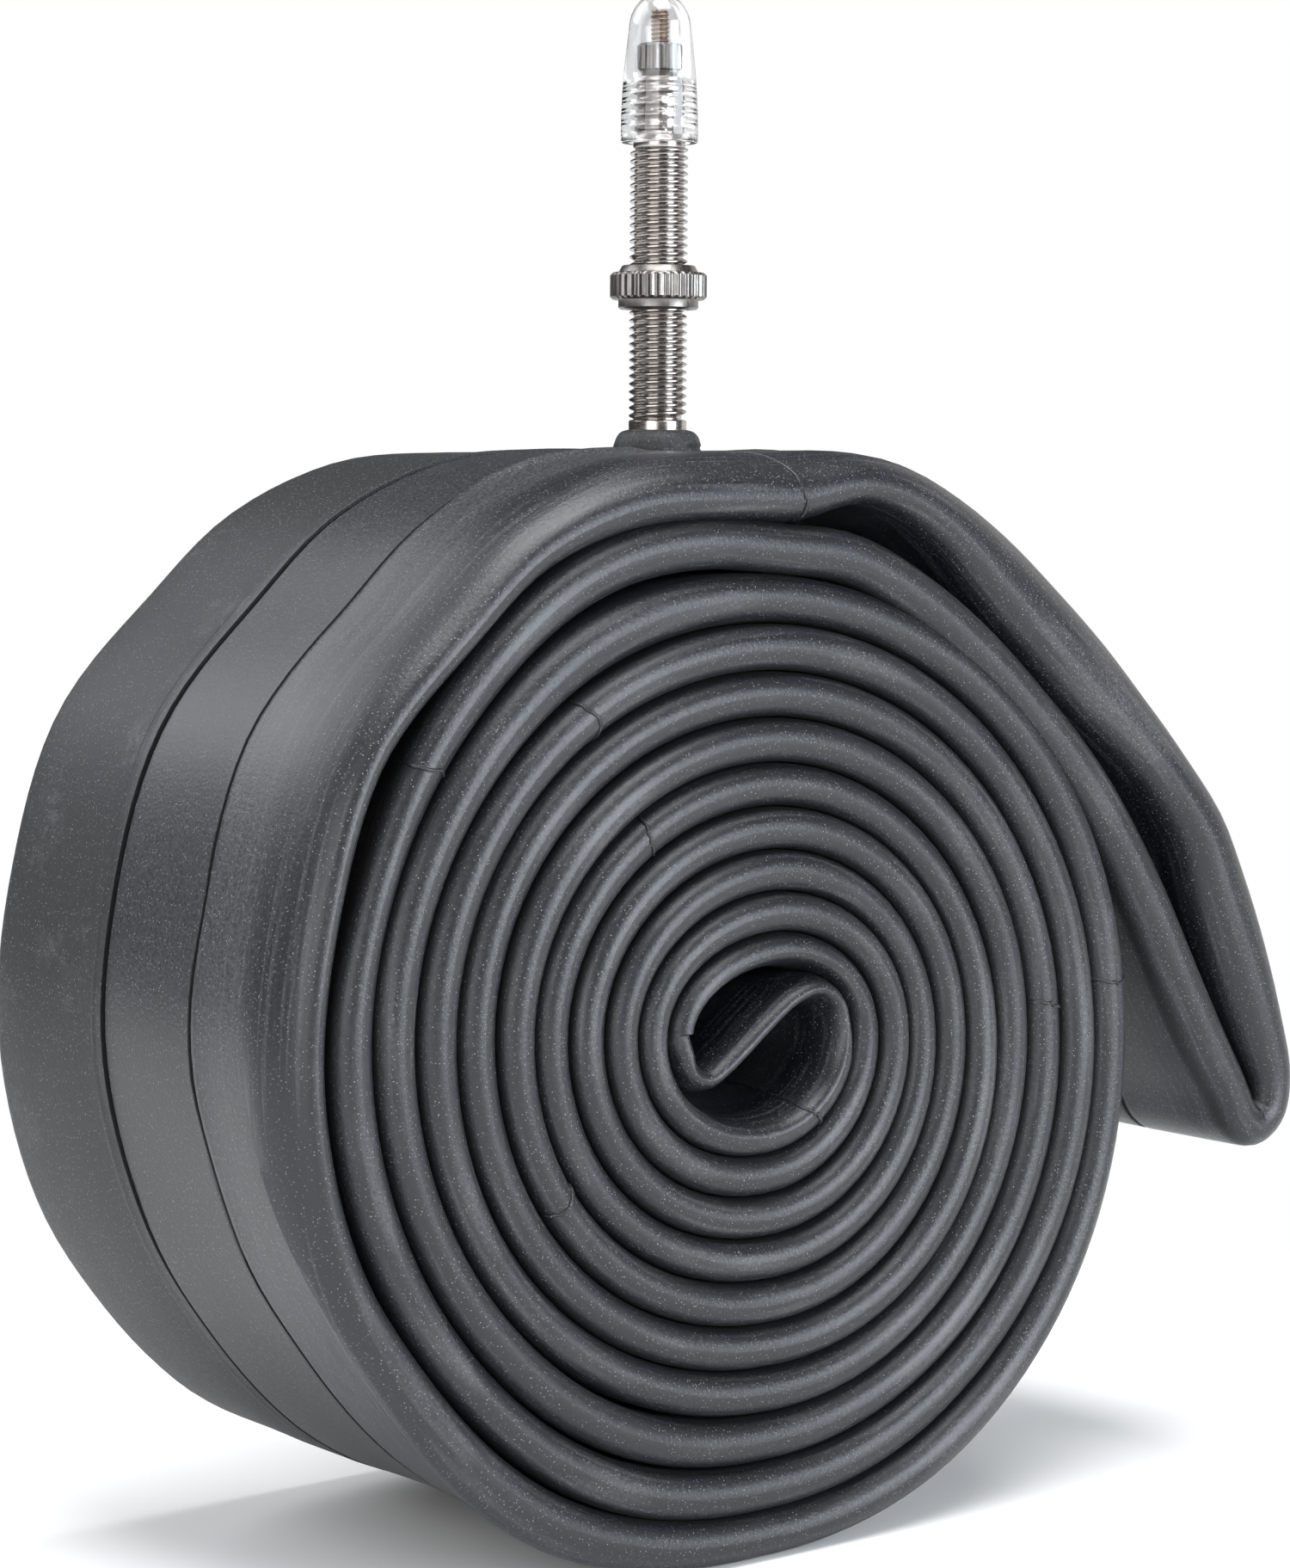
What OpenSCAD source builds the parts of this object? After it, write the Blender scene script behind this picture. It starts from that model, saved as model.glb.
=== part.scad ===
// Bicycle inner tube, rolled up for storage, with a Presta valve.
// The deflated tube lies flat. It is doubled into two strands and rolled up from the
// fold in the middle, and the valve stands on the crown of the outermost strand.
// Frame: Z up, the roll lies along Y, X = Y = 0 is the valve axis, Z = 0 is the rest face.

/* [Tube] */
// Width of the flattened tube, which is the length of the roll
tube_width = 52; // [40:0.5:64]
// Thickness of the flattened tube where it is rolled up
tube_thickness = 4; // [3.6:0.1:4.2]
// Air left between neighbouring layers of the roll
layer_gap = 0.34; // [0.3:0.01:0.5]
// How far the cross-wise mould ribs stand proud
rib_height = 0.1; // [0.05:0.01:0.12]
// Width of those ribs
rib_width = 0.4; // [0.3:0.05:0.5]

/* [Roll] */
// Number of layers on the left of the roll, counted from the middle
layers = 10; // [8:2:12]
// Radius of the innermost layer, at the middle of the tube's thickness
first_bend = 6.9; // [6.6:0.1:8]
// Straight stretch between the left and the right half of the roll
core_flat = 3.6; // [3:0.1:5]
// Slope of the tongue in the middle of the roll
tongue_slope = 35; // [30:1:40]
// Radius of the tight fold at the start of the roll
fold_radius = 2.45; // [2.4:0.05:2.6]
// Distance from the valve axis back to the left half's centre
roll_offset = 8.6; // [6:0.2:10]
// Depth to which the roll has flattened where it rests
rest_flat = 0.8; // [0.5:0.1:1.2]

/* [Outer strand] */
// Thickness of the strand at the side of the roll, which is less tightly pressed
side_thickness = 4.6; // [4:0.1:5]
// Thickness of the strand at the crown
crown_thickness = 6; // [5:0.1:6.4]
// Thickness of the strand at the flap's shoulder
shoulder_thickness = 7.6; // [6:0.1:7.8]
// Thickness of the strand at the flap's tip
tip_thickness = 5.2; // [4.6:0.1:5.6]
// Height of the side's corner above the middle of the roll
side_corner = 24; // [22:0.5:25]
// Slope of the strand from the side to the crown
side_slope = 44; // [43:0.5:46]
// Radius of the bend at the side's corner
side_bend = 30; // [15:1:32]
// Radius of the bend where the side meets the crown
back_bend = 34; // [20:1:36]
// Clear space under the crown, between the outermost strand and the roll
crown_space = 1.04; // [0.4:0.02:3]
// Distance from the valve to the point where the crown meets the slope of the flap
crown_front = 13.5; // [13:0.5:15]
// Radius of the bend at the front of the crown
crown_bend = 12; // [8:1:12]
// How far round from the top the inner strand leaves the roll
peel_angle = 58; // [57:1:60]
// Length of the flap's line from the peel corner to its apex
flap_run = 105.5; // [102:0.5:107]
// Distance from the valve to the flap's shoulder
shoulder_out = 51.4; // [50.4:0.2:53]
// Drop from the crown to the flap's shoulder
shoulder_drop = 29.5; // [28.5:0.1:30]
// Radius of the bend at the flap's shoulder
shoulder_bend = 12; // [8:1:20]
// Radius of the fold at the flap's tip
tip_fold = 3; // [3:0.05:3.4]

/* [Valve base] */
// Radius of the rubber pad that is bonded into the tube
pad_radius = 8.6; // [7:0.1:8.8]
// Depth of the pad's seat in the tube
pad_depth = 1.2; // [1:0.1:1.6]
// Radius of the rubber foot where it meets the tube
foot_radius = 4.5; // [4:0.1:6]
// Height of the rubber foot above the tube
foot_height = 2.4; // [1.6:0.1:4]

/* [Valve stem] */
// Outer radius of the stem's thread
stem_radius = 2.9; // [2.8:0.05:3.1]
// Length of stem above the rubber foot, up to the neck
stem_thread = 28; // [24:0.5:60]
// Radius of the neck above the thread
neck_radius = 2.6; // [2.4:0.05:2.7]
// Length of the neck
neck_length = 1.5; // [1:0.1:2.5]
// Radius of the air bore
air_bore = 1.2; // [1:0.05:1.3]
// Depth of the core's socket below the end of the stem
socket_depth = 16; // [15.5:0.5:20]
// Radius of the stem's flange inside the rubber pad
flange_radius = 5; // [4:0.1:6]
// Thickness of the stem's flange
flange_thickness = 0.6; // [0.4:0.1:0.6]

/* [Rim nut] */
// Radius over the knurl
nut_radius = 4.85; // [4.5:0.05:6]
// Height of the knurled band
nut_band = 2.7; // [2:0.1:4]
// Number of knurls
nut_knurls = 34; // [24:1:40]
// Depth of the grooves between the knurls
nut_groove = 0.22; // [0.1:0.02:0.3]
// Chamfer at both rims of the knurled band
nut_chamfer = 0.3; // [0.1:0.05:0.5]
// Radius of the collars above and below the knurl
nut_collar = 4; // [3.8:0.1:4.3]
// Height of the upper collar
nut_top = 0.7; // [0.4:0.1:1.5]
// Height of the lower collar
nut_bottom = 0.95; // [0.4:0.05:2]
// Chamfer around the top of the upper collar
nut_bevel = 0.4; // [0.2:0.05:0.6]
// Widening of the bore at the foot of the nut
nut_countersink = 0.6; // [0.3:0.05:0.8]
// Height of the nut above the rubber foot
nut_lift = 12; // [8:0.5:14]

/* [Valve core] */
// Radius of the thread for the cap and the pump
core_radius = 2.6; // [2.4:0.05:2.65]
// Length of that thread
core_thread = 5.4; // [4:0.1:6]
// Width across the two spanner flats
core_flats = 4.3; // [4:0.1:4.6]
// Height of the spanner flats
flats_height = 3.2; // [2:0.1:3.6]
// Radius of the part that screws into the stem
plug_radius = 1.9; // [1.8:0.01:2]
// Length of that part
plug_length = 3.5; // [3:0.1:4]
// Radius of the core's lower barrel
barrel_radius = 1.45; // [1.4:0.01:1.5]
// Length of the core below the end of the stem
barrel_length = 10; // [8:0.5:11]
// Length of the gasket on the barrel
gasket_length = 1.4; // [1:0.1:2]

/* [Valve pin] */
// Radius of the pin
pin_radius = 0.93; // [0.85:0.01:0.95]
// Radius of the thin rod below the pin that carries the seal
rod_radius = 0.6; // [0.5:0.05:0.7]
// Length of pin that stands above the lock nut
pin_show = 3.4; // [2:0.1:4]
// Height of the seal at the pin's foot
seal_height = 1.2; // [0.8:0.1:1.6]
// Radius of the narrow end of the seal, and of the cup below it
seal_tip_radius = 1.25; // [1.1:0.05:1.35]
// Height of the cup that holds the seal
cup_height = 0.8; // [0.6:0.1:1]
// Height of the riveted head under the cup
rivet_height = 0.5; // [0.3:0.05:0.8]
// Radius of that head
rivet_radius = 1; // [0.8:0.05:1.2]

/* [Lock nut] */
// Radius over the knurl
lock_radius = 2.25; // [2:0.05:2.35]
// Height of the lock nut
lock_height = 3.3; // [2.5:0.1:3.6]
// Height of its smooth nose
lock_nose = 1.3; // [1:0.1:1.6]
// Radius of the nose
lock_nose_radius = 1.9; // [1.6:0.05:2]
// Number of knurls
lock_knurls = 18; // [14:1:24]
// Depth of the grooves between the knurls
lock_groove = 0.16; // [0.1:0.02:0.24]
// Chamfer at both rims of the knurled band
lock_chamfer = 0.25; // [0.1:0.05:0.4]

/* [Dust cap] */
// Radius of the cap at its mouth
cap_radius = 3.84; // [3.6:0.02:4.4]
// Radius of the cap where its dome starts
cap_shoulder = 3.1; // [3.1:0.02:3.4]
// Height of the cap
cap_height = 14.8; // [14.6:0.1:18]
// Height of the cap's dome
cap_dome = 3.4; // [3:0.1:4]
// Wall of the cap
cap_wall = 0.65; // [0.5:0.05:0.68]
// Depth of the cap's threaded mouth
cap_mouth = 6.2; // [5.6:0.1:6.4]
// Height of the straight rim around the mouth
cap_rim = 0.3; // [0.1:0.05:0.5]
// Height of the cap's mouth above the stem's thread
cap_stand = 0.5; // [0.3:0.1:0.8]

/* [Fits] */
// Radial clearance of a part that turns or slides on another
running = 0.05; // [0.03:0.01:0.08]

/* [Hidden] */
$fn = 48;

half = tube_thickness / 2;
pitch = tube_thickness + layer_gap;
last_bend = first_bend + layers * pitch;

// The two halves of the roll are nested half rings. Each layer on the left meets the next
// layer out on the right over the top, and the next layer in on the right underneath.
left_centre = [-roll_offset, last_bend + half - rest_flat];
right_centre = left_centre + [core_flat, -pitch];
roll_top = left_centre.y + last_bend - pitch + half;
crown_z = roll_top + crown_space + crown_thickness / 2;
crown_top = crown_z + crown_thickness / 2;

foot_top = crown_top + foot_height;
thread_top = foot_top + stem_thread;
stem_top = thread_top + neck_length;
core_top = stem_top + core_thread;
lock_top = core_top + lock_height;
pin_top = lock_top + pin_show;
core_foot = stem_top - barrel_length;
seal_foot = core_foot - seal_height;
cup_foot = seal_foot - cup_height;
socket_radius = plug_radius + running;
cap_z = thread_top + cap_stand;

over = 1; // how far a cut runs past the faces that it opens
join = 0.01; // overlap that joins two stacked solids into one

// ---- the roll ----

module flat_section(thickness) {
    square([thickness, tube_width - thickness], center = true);
    for (side = [-1, 1])
        translate([0, side * (tube_width - thickness) / 2]) circle(thickness / 2);
}

// A bend of the flattened tube about an axis along Y. Angles run from +X towards +Z.
module bend(centre, radius, from, sweep, thickness = tube_thickness) {
    translate([centre.x, 0, centre.y]) rotate([90, 0, 0])
        rotate_extrude(start = from, angle = sweep) translate([radius, 0]) flat_section(thickness);
}

// A straight stretch of the flattened tube, which may swell or thin out on its way
module run(start, heading, length, thickness = tube_thickness, to = tube_thickness) {
    translate([start.x, 0, start.y]) rotate([0, 90 - heading, 0])
        if (thickness == to) linear_extrude(length) flat_section(thickness);
        else linear_extrude(length, scale = [to / thickness, 1], slices = 1) flat_section(thickness);
}

// A cross-wise mould rib, centred on a point of the tube
module rib(place, heading, thickness) {
    dir = [cos(heading), sin(heading)];
    translate([place.x, 0, place.y] - rib_width / 2 * [dir.x, 0, dir.y]) rotate([0, 90 - heading, 0])
        linear_extrude(rib_width) {
            square([thickness + 2 * rib_height, tube_width - thickness], center = true);
            for (side = [-1, 1])
                translate([0, side * (tube_width - thickness) / 2]) circle(thickness / 2 + rib_height);
        }
}

// A line of the tube through corners [x, z, bend radius, thickness], with a rib at both ends
// of each straight stretch. The two end points of the line have no bend.
function spot(corner) = [corner.x, corner.y];
function way(a, b) = (spot(b) - spot(a)) / norm(spot(b) - spot(a));
function heading_of(d) = atan2(d.y, d.x);
function turn_of(d, e) = atan2(d.x * e.y - d.y * e.x, d.x * e.x + d.y * e.y);

module line(corners) {
    last = len(corners) - 1;
    ways = [for (i = [0:last - 1]) way(corners[i], corners[i + 1])];
    turns = [for (i = [1:last - 1]) turn_of(ways[i - 1], ways[i])];
    reaches = concat([0], [for (i = [1:last - 1]) corners[i].z * tan(abs(turns[i - 1]) / 2)], [0]);
    for (i = [0:last - 1]) {
        start = spot(corners[i]) + reaches[i] * ways[i];
        length = norm(spot(corners[i + 1]) - spot(corners[i])) - reaches[i] - reaches[i + 1];
        heading = heading_of(ways[i]);
        from = corners[i][3];
        to = corners[i + 1][3];
        if (length > rib_width / 4) run(start, heading, length, from, to);
        rib(start, heading, from);
        rib(start + length * ways[i], heading, to);
    }
    for (i = [1:last - 1]) {
        side = sign(turns[i - 1]);
        d = ways[i - 1];
        centre = spot(corners[i]) - reaches[i] * d + side * corners[i].z * [-d.y, d.x];
        from = heading_of(d) - side * 90;
        bend(centre, corners[i].z, side > 0 ? from : from + turns[i - 1], abs(turns[i - 1]),
             corners[i][3]);
    }
}

module half_rings() {
    bend(left_centre, first_bend, 90, 90);
    bend(right_centre, first_bend, 270, 90);
    for (n = [1:layers - 1]) {
        bend(left_centre, first_bend + n * pitch, 90, 180);
        bend(right_centre, first_bend + n * pitch, 270, 180);
    }
    bend(left_centre, last_bend, 180, 90);
    bend(right_centre, last_bend, 90 - peel_angle, peel_angle);
}

module flats_between() {
    for (n = [0:layers - 1])
        run(left_centre + [0, first_bend + n * pitch], 0, core_flat);
    for (n = [1:layers])
        run(left_centre - [0, first_bend + n * pitch], 0, core_flat);
}

// The tongue in the middle joins the two strands by a tight fold and a wide bend
first_x = left_centre.x - first_bend;
second_x = right_centre.x + first_bend;
tongue_width = second_x - first_x;
both_bends = (tongue_width * sin(tongue_slope) + pitch * cos(tongue_slope)) / (1 + sin(tongue_slope));
wide_bend = both_bends - fold_radius;
fold_reach = tan(45 + tongue_slope / 2);
tongue = [[first_x, left_centre.y, 0, tube_thickness],
          [first_x, left_centre.y - fold_radius * fold_reach, fold_radius, tube_thickness],
          [second_x, right_centre.y + wide_bend * fold_reach, wide_bend, tube_thickness],
          [second_x, right_centre.y, 0, tube_thickness]];

// The strands part from the roll, one up the left side and over the crown,
// the other straight down to the flap, where they meet in a fold
peel_start = right_centre + last_bend * [sin(peel_angle), cos(peel_angle)];
peel_corner = right_centre + last_bend * [tan(peel_angle / 2), 1];
apex = peel_corner + flap_run * [cos(peel_angle), -sin(peel_angle)];
left_x = left_centre.x - last_bend;
side_z = left_centre.y + side_corner;
outer_strand = [[left_x, left_centre.y, 0, tube_thickness],
    [left_x, side_z, side_bend, side_thickness],
    [left_x + (crown_z - side_z) / tan(side_slope), crown_z, back_bend, crown_thickness],
    [crown_front, crown_z, crown_bend, crown_thickness],
    [shoulder_out, crown_z - shoulder_drop, shoulder_bend, shoulder_thickness],
    [apex.x, apex.y, tip_fold, tip_thickness],
    [peel_start.x, peel_start.y, 0, tube_thickness]];

module tube() {
    color("dimgray") difference() {
        union() {
            half_rings();
            flats_between();
            line(tongue);
            line(outer_strand);
        }
        translate([0, 0, -tube_width]) cube(2 * tube_width, center = true);
        translate([0, 0, crown_top - pad_depth]) cylinder(r = pad_radius, h = pad_depth + over);
    }
}

// ---- the valve ----

module valve_base() {
    color("dimgray") difference() {
        rotate_extrude() polygon(concat(
            [[0, crown_top - pad_depth], [pad_radius, crown_top - pad_depth], [pad_radius, crown_top]],
            [for (a = [0:15:75]) [stem_radius + (foot_radius - stem_radius) * cos(a),
                                  crown_top + foot_height * sin(a)]],
            [[stem_radius, foot_top], [0, foot_top]]));
        stem_outline();
        translate([0, 0, crown_top - pad_depth - over]) cylinder(r = air_bore, h = pad_depth + 2 * over);
    }
}

module stem_outline() {
    flange_z = crown_top - pad_depth / 2 - flange_thickness / 2;
    translate([0, 0, flange_z]) cylinder(r = flange_radius, h = flange_thickness);
    translate([0, 0, flange_z]) cylinder(r = stem_radius, h = thread_top - flange_z);
}

module valve_stem() {
    color("silver") difference() {
        union() {
            stem_outline();
            translate([0, 0, thread_top - join]) cylinder(r = neck_radius, h = neck_length + join);
        }
        translate([0, 0, crown_top - pad_depth]) cylinder(r = air_bore, h = stem_top);
        translate([0, 0, stem_top - socket_depth])
            cylinder(r = socket_radius, h = socket_depth + over);
    }
}

// A knurled drum: teeth with flat flanks around it, cut back by a cone at each rim
module knurled(radius, height, knurls, depth, chamfer) {
    intersection() {
        linear_extrude(height) polygon([for (i = [0:2 * knurls - 1])
            let (r = radius - (i % 2) * depth, a = i * 180 / knurls) r * [cos(a), sin(a)]]);
        rotate_extrude() polygon([[0, 0], [radius - chamfer, 0], [radius + chamfer, 2 * chamfer],
            [radius + chamfer, height - 2 * chamfer], [radius - chamfer, height], [0, height]]);
    }
}

module rim_nut() {
    band_top = nut_bottom + nut_band;
    bore = stem_radius + running;
    color("silver") translate([0, 0, foot_top + nut_lift]) difference() {
        union() {
            cylinder(r = nut_collar, h = band_top);
            translate([0, 0, nut_bottom])
                knurled(nut_radius, nut_band, nut_knurls, nut_groove, nut_chamfer);
            translate([0, 0, band_top])
                cylinder(r1 = nut_collar, r2 = nut_collar - nut_bevel, h = nut_top);
        }
        translate([0, 0, -over]) cylinder(r = bore, h = band_top + nut_top + 2 * over);
        rotate_extrude() polygon([[0, -over], [bore + nut_countersink, -over],
            [bore + nut_countersink, 0], [bore, nut_countersink], [0, nut_countersink]]);
    }
}

module core_body() {
    plug_z = stem_top - plug_length;
    color("silver") difference() {
        union() {
            intersection() {
                translate([0, 0, stem_top]) cylinder(r = core_radius, h = core_thread);
                union() {
                    translate([-core_radius, -core_flats / 2, stem_top])
                        cube([2 * core_radius, core_flats, flats_height]);
                    translate([0, 0, stem_top + flats_height])
                        cylinder(r = core_radius, h = core_thread - flats_height);
                }
            }
            translate([0, 0, plug_z]) cylinder(r = plug_radius, h = plug_length + join);
            translate([0, 0, core_foot])
                cylinder(r = barrel_radius, h = barrel_length - plug_length + join);
        }
        translate([0, 0, core_foot - over])
            cylinder(r = pin_radius + running, h = core_top - core_foot + 2 * over);
    }
}

module core_gasket() {
    color("ivory") translate([0, 0, stem_top - plug_length - gasket_length]) difference() {
        cylinder(r = plug_radius, h = gasket_length);
        translate([0, 0, -over]) cylinder(r = barrel_radius, h = gasket_length + 2 * over);
    }
}

module valve_pin() {
    color("peru") {
        translate([0, 0, core_foot]) cylinder(r = pin_radius, h = pin_top - core_foot);
        translate([0, 0, cup_foot - join]) cylinder(r = rod_radius, h = core_foot - cup_foot + 2 * join);
        translate([0, 0, cup_foot - rivet_height])
            cylinder(r1 = rod_radius, r2 = rivet_radius, h = rivet_height);
    }
}

module pin_seal() {
    color("black") translate([0, 0, seal_foot]) difference() {
        cylinder(r1 = barrel_radius, r2 = seal_tip_radius, h = seal_height);
        translate([0, 0, -over]) cylinder(r = rod_radius, h = seal_height + 2 * over);
    }
}

module seal_cup() {
    color("peru") translate([0, 0, cup_foot]) difference() {
        cylinder(r1 = seal_tip_radius, r2 = barrel_radius, h = cup_height);
        translate([0, 0, -over]) cylinder(r = rod_radius, h = cup_height + 2 * over);
    }
}

module lock_nut() {
    color("silver") translate([0, 0, core_top]) difference() {
        union() {
            cylinder(r1 = lock_nose_radius - lock_chamfer, r2 = lock_nose_radius, h = lock_nose);
            translate([0, 0, lock_nose]) knurled(lock_radius, lock_height - lock_nose,
                                                 lock_knurls, lock_groove, lock_chamfer);
        }
        translate([0, 0, -over]) cylinder(r = pin_radius + running, h = lock_height + 2 * over);
    }
}

// The outline of a round cap from its axis at the foot to its axis at the top: a wall that
// leans in up to a quarter ellipse
function capsule(foot, mouth, straight, shoulder, top) = concat(
    [[0, foot], [mouth, foot], [mouth, straight]],
    [for (a = [0:10:80]) [shoulder * cos(a), cap_height - cap_dome + top * sin(a)]],
    [[0, cap_height - cap_dome + top]]);

module dust_cap() {
    mouth_radius = core_radius + running;
    color("whitesmoke") translate([0, 0, cap_z]) difference() {
        rotate_extrude() polygon(capsule(0, cap_radius, cap_rim, cap_shoulder, cap_dome));
        rotate_extrude() polygon(capsule(-over, mouth_radius, cap_mouth,
                                         cap_shoulder - cap_wall, cap_dome - cap_wall));
    }
}

tube();
valve_base();
valve_stem();
rim_nut();
core_body();
core_gasket();
valve_pin();
pin_seal();
seal_cup();
lock_nut();
dust_cap();
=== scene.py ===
import math

import bmesh
import bpy
from mathutils import Matrix, Vector, noise


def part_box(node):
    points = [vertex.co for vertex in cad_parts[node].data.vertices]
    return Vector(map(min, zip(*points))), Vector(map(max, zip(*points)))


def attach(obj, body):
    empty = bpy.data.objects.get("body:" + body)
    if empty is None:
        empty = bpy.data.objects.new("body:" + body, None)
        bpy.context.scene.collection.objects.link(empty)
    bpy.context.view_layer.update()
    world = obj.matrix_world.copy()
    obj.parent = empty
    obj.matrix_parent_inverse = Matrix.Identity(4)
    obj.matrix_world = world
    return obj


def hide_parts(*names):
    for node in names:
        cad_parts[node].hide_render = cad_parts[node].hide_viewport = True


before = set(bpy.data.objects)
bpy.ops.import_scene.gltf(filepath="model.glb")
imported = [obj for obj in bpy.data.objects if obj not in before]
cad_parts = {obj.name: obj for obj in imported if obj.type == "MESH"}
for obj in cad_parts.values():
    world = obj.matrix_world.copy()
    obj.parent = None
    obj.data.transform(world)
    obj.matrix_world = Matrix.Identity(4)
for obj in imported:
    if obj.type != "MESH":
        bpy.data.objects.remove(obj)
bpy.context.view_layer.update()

# ---- Butyl hose ----
# One endless tube of black butyl rubber, moulded round and then pressed flat. It is doubled,
# rolled up from the fold in its middle, and its last stretch is laid over the roll, where it
# carries the valve on its crown and hangs down at the right in a folded flap.

MM = 0.001
tube_low, tube_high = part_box("tube")
half_width = (tube_high.y - tube_low.y) / 2 / MM

# Sizes are in millimetres until hose_point. A turn is a layer of the roll, counted outwards, and
# a strand passes half a round per turn because the two strands alternate.
roll_middle = Vector((-6.2, 51.0))
outer_turn = 10
layer_gap = 0.1
points_per_turn = 300

# How much a turn swells in each corner of the roll, by (on the left, at the top)
corner_bulges = {
    (True, True): 1.0,
    (True, False): -0.9,
    (False, True): -1.2,
    (False, False): 1.9,
}


def reach(side, turn):
    """How far the rubber's middle is from the roll's middle, and how much a turn adds."""
    base, growth, bow = {
        "left": (10.6, 42.5, -7.2),
        "top": (6.1, 42.7, -5.0),
        "right": (9.1, 42.6, -9.2),
        "bottom": (7.5, 43.0, -3.95),
    }[side]
    share = turn / outer_turn
    distance = base + growth * share + bow * share * (1 - share)
    return distance, (growth + bow * (1 - 2 * share)) / outer_turn


def layer(turn, angle):
    """A point of (x, z, half thickness) on a winding, the angle running clockwise from the left."""
    c, s = math.cos(angle), math.sin(angle)
    across, more_across = reach("left" if c > 0 else "right", turn)
    up, more_up = reach("top" if s > 0 else "bottom", turn)
    outward = Vector((-up * c, across * s)).normalized()
    bulge = corner_bulges[c > 0, s > 0] * abs(2 * s * c) / outer_turn
    pitch = abs(Vector((-more_across * c, more_up * s)).dot(outward)) + bulge
    place = roll_middle + Vector((-across * c, up * s)) + outward * bulge * turn
    return Vector((place.x, place.y, (pitch - layer_gap) / 2))


def winding(first, last, start_angle):
    """A strand's points from one turn to another."""
    count = round(abs(last - first) * points_per_turn)
    turns = [first + (last - first) * k / count for k in range(count + 1)]
    return [layer(turn, math.pi * turn + start_angle) for turn in turns]


def smooth_line(points, spacing=0.12):
    """A spline from the second to the last but one of a few points of (x, z, half thickness)."""
    line = []
    for i in range(1, len(points) - 2):
        p = [Vector(q) for q in points[i - 1 : i + 3]]
        t = [0.0]
        for k in range(3):
            t.append(t[k] + max(0.3, (p[k + 1].xy - p[k].xy).length) ** 0.5)
        count = max(4, round((p[2].xy - p[1].xy).length / spacing))
        for k in range(count):
            u = t[1] + (t[2] - t[1]) * k / count
            a = [p[j].lerp(p[j + 1], (u - t[j]) / (t[j + 1] - t[j])) for j in range(3)]
            b = [a[j].lerp(a[j + 1], (u - t[j]) / (t[j + 2] - t[j])) for j in range(2)]
            line.append(b[0].lerp(b[1], (u - t[1]) / (t[2] - t[1])))
    return line


# The outer strand starts at the core on the left, the inner strand on the right.
outer_turns = winding(0.06, 9.7, 0.0)
inner_turns = winding(9.45, 0.06, math.pi)

def nudge(turns, first, way, centre, spread, outward, thicker):
    """Moves a winding outwards and thickens it round a place on it.

    The winding starts at the turn first and runs outwards with way 1 or inwards with way -1.
    The place and its spread are given in turns.
    """
    for k, p in enumerate(turns):
        near = math.exp(-(((first + way * k / points_per_turn - centre) / spread) ** 2))
        p.xy += (p.xy - roll_middle).normalized() * outward * near
        p.z += thicker * near


# At the upper left the inner strand's last turn stands off the turn below it, which is fuller
# there. Farther down the last turn is thinner and pressed in.
nudge(inner_turns, 9.45, -1, 9.38, 0.1, 1.85, 0.25)
nudge(outer_turns, 0.06, 1, 8.36, 0.1, 0.6, 0.55)
nudge(inner_turns, 9.45, -1, 9.12, 0.08, -0.6, -0.55)

# The roll is fuller at the lower left.
nudge(outer_turns, 0.06, 1, 9.66, 0.11, 1.1, 0.1)
nudge(inner_turns, 9.45, -1, 8.63, 0.11, 0.8, 0.1)
nudge(outer_turns, 0.06, 1, 7.63, 0.11, 0.4, 0.05)

# The tongue that joins them in the core, from the inner strand's start to the outer strand's
tongue = [
    (2.9, 51.7, 1.6),
    (2.3, 53.7, 1.6),
    (0.1, 55.2, 1.6),
    (-3.2, 54.5, 1.65),
    (-7.4, 51.6, 1.7),
    (-11.0, 48.8, 1.75),
    (-13.6, 47.4, 1.7),
    (-15.6, 48.2, 1.65),
    (-16.2, 50.3, 1.7),
]

# The outer strand's way up the left side, over the crown, down to the tip and back
overlay = [
    (-51.2, 26.9, 2.2),
    (-56.6, 37.0, 2.25),
    (-59.5, 51.0, 2.3),
    (-58.0, 65.4, 2.35),
    (-53.0, 79.9, 2.45),
    (-42.5, 90.9, 2.6),
    (-34.0, 98.0, 2.75),
    (-22.5, 102.4, 3.2),
    (-9.8, 103.2, 3.4),
    (-3.0, 103.2, 3.4),
    (5.5, 104.3, 2.6),
    (12.3, 103.0, 3.1),
    (19.0, 99.6, 3.8),
    (24.8, 95.2, 4.9),
    (31.5, 89.8, 5.3),
    (38.2, 84.2, 5.4),
    (44.0, 79.4, 4.7),
    (49.2, 74.6, 4.2),
    (55.2, 67.5, 4.5),
    (57.8, 61.9, 4.9),
    (60.8, 54.8, 4.8),
    (63.9, 46.4, 3.9),
    (65.7, 40.5, 2.85),
    (65.1, 36.9, 2.5),
    (62.9, 35.5, 2.45),
    (60.7, 36.8, 2.45),
    (59.0, 39.8, 2.6),
    (55.8, 44.6, 2.9),
    (51.7, 51.3, 3.0),
    (46.9, 59.5, 3.0),
    (42.0, 66.9, 3.0),
    (36.6, 73.7, 2.9),
    (28.5, 81.4, 2.75),
    (20.6, 87.8, 2.75),
    (12.6, 92.9, 2.6),
    (4.4, 96.5, 2.5),
    (-4.5, 97.5, 2.4),
]
tip = 23

# Each joining line takes its direction from a point some way along the winding at either end.
loop = (
    outer_turns[:-1]
    + smooth_line([outer_turns[-40], outer_turns[-1], *overlay, inner_turns[0], inner_turns[18]])
    + inner_turns[:-1]
    + smooth_line([inner_turns[-60], inner_turns[-1], *tongue, outer_turns[0], outer_turns[60]])
)


def softened(values, times):
    """The values of a closed ring, each blended with its neighbours a few times."""
    for _ in range(times):
        values = [
            (values[i - 1] + 2 * values[i] + values[(i + 1) % len(values)]) / 4
            for i in range(len(values))
        ]
    return values


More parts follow.
